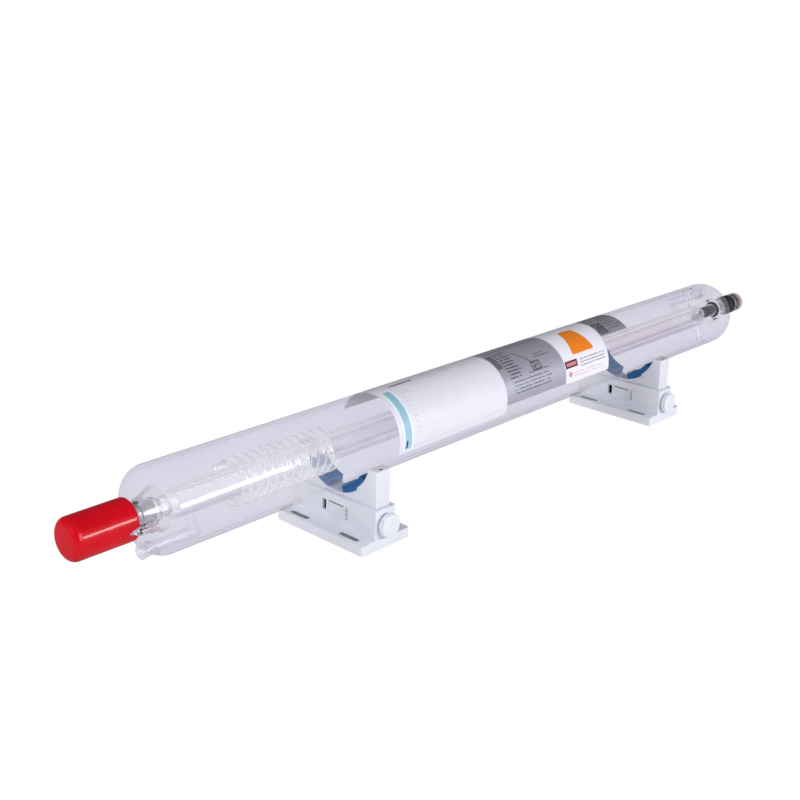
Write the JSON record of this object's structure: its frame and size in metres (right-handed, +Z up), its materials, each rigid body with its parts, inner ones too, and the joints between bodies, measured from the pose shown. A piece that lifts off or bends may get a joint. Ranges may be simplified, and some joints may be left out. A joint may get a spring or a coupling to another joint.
{
  "type": "carbon dioxide laser tube on two height-adjustable brackets",
  "caption": "Water-cooled glass CO2 laser tube with capped ends, resting on rubber pads in plastic brackets whose knobs set its height.",
  "frame": {"origin": "on the mounting surface, below the middle of the whole tube, its end caps included", "axes": "+X along the tube from the capped reflector end to the output end, +Z up, -Y towards the knobs"},
  "size_m": [0.6705, 0.0791, 0.0816],
  "materials": {
    "glass_envelope": "clear polished",
    "water_jacket": "clear polished",
    "discharge_tube": "clear polished",
    "bore_spacers": "clear, flame worked",
    "jacket_feet": "clear, flame worked",
    "gas_return_coil": "clear, flame worked",
    "gas_return_port": "clear, flame worked",
    "inlet_water_pipe": "clear, flame worked",
    "outlet_water_pipe": "clear, flame worked",
    "pump_stem": "clear, flame worked",
    "anode_sleeve": "satin",
    "anode_pin": "satin",
    "cathode_sleeve": "dark satin",
    "cathode_pin": "satin",
    "rear_mirror_mount": "turned",
    "rear_mirror": "polished, gold coated",
    "rear_mirror_ring": "turned",
    "output_mirror": "polished, coated",
    "output_sleeve": "dark grey, semi-matt",
    "output_cap": "clear",
    "red_end_cap": "glossy soft vinyl",
    "main_label": "satin film",
    "data_label": "metallic satin film",
    "symbol_label": "satin film",
    "code_label": "satin film",
    "left_saddle": "moulded satin",
    "left_pads": "soft matt",
    "left_foot": "moulded satin",
    "left_knob": "moulded satin",
    "left_screw": "turned",
    "left_screw_clip": "spring steel",
    "left_nut": "black moulded",
    "left_cross_pin": "ground",
    "right_saddle": "moulded satin",
    "right_pads": "soft matt",
    "right_foot": "moulded satin",
    "right_knob": "moulded satin",
    "right_screw": "turned",
    "right_screw_clip": "spring steel",
    "right_nut": "black moulded",
    "right_cross_pin": "ground"
  },
  "bodies": {
    "tube_and_saddles": {"glass_envelope": "glass_envelope", "water_jacket": "water_jacket", "discharge_tube": "discharge_tube", "bore_spacers": "bore_spacers", "jacket_feet": "jacket_feet", "gas_return_coil": "gas_return_coil", "gas_return_port": "gas_return_port", "inlet_water_pipe": "inlet_water_pipe", "outlet_water_pipe": "outlet_water_pipe", "pump_stem": "pump_stem", "anode_sleeve": "anode_sleeve", "anode_pin": "anode_pin", "cathode_sleeve": "cathode_sleeve", "cathode_pin": "cathode_pin", "rear_mirror_mount": "rear_mirror_mount", "rear_mirror": "rear_mirror", "rear_mirror_ring": "rear_mirror_ring", "output_mirror": "output_mirror", "output_sleeve": "output_sleeve", "output_cap": "output_cap", "red_end_cap": "red_end_cap", "main_label": "main_label", "data_label": "data_label", "symbol_label": "symbol_label", "code_label": "code_label", "left_saddle": "left_saddle", "left_pads": "left_pads", "right_saddle": "right_saddle", "right_pads": "right_pads"},
    "left_base": {"left_foot": "left_foot"},
    "left_adjuster": {"left_knob": "left_knob", "left_screw": "left_screw", "left_screw_clip": "left_screw_clip"},
    "left_traveller": {"left_nut": "left_nut", "left_cross_pin": "left_cross_pin"},
    "right_base": {"right_foot": "right_foot"},
    "right_adjuster": {"right_knob": "right_knob", "right_screw": "right_screw", "right_screw_clip": "right_screw_clip"},
    "right_traveller": {"right_nut": "right_nut", "right_cross_pin": "right_cross_pin"}
  },
  "joints": [
    {"name": "left_lift", "type": "slide", "parent": "tube_and_saddles", "child": "left_base", "axis": [0, 0, -1], "range_m": [-0.0015, 0.0055]},
    {"name": "left_knob_turn", "type": "hinge", "parent": "left_base", "child": "left_adjuster", "pos_m": [-0.14315, 0, 0.0148], "axis": [0, -1, 0], "range_deg": [-541, 1981]},
    {"name": "left_nut_travel", "type": "slide", "parent": "left_base", "child": "left_traveller", "axis": [0, 1, 0], "range_m": [-0.003, 0.011]},
    {"name": "right_lift", "type": "slide", "parent": "tube_and_saddles", "child": "right_base", "axis": [0, 0, -1], "range_m": [-0.0015, 0.0055]},
    {"name": "right_knob_turn", "type": "hinge", "parent": "right_base", "child": "right_adjuster", "pos_m": [0.16615, 0, 0.0148], "axis": [0, -1, 0], "range_deg": [-541, 1981]},
    {"name": "right_nut_travel", "type": "slide", "parent": "right_base", "child": "right_traveller", "axis": [0, 1, 0], "range_m": [-0.003, 0.011]}
  ],
  "couplings": [
    {"joint": "left_knob_turn", "follows": "left_lift", "rad_per_m": 6283.2},
    {"joint": "left_nut_travel", "follows": "left_lift", "ratio": 2},
    {"joint": "right_knob_turn", "follows": "right_lift", "rad_per_m": 6283.2},
    {"joint": "right_nut_travel", "follows": "right_lift", "ratio": 2}
  ]
}
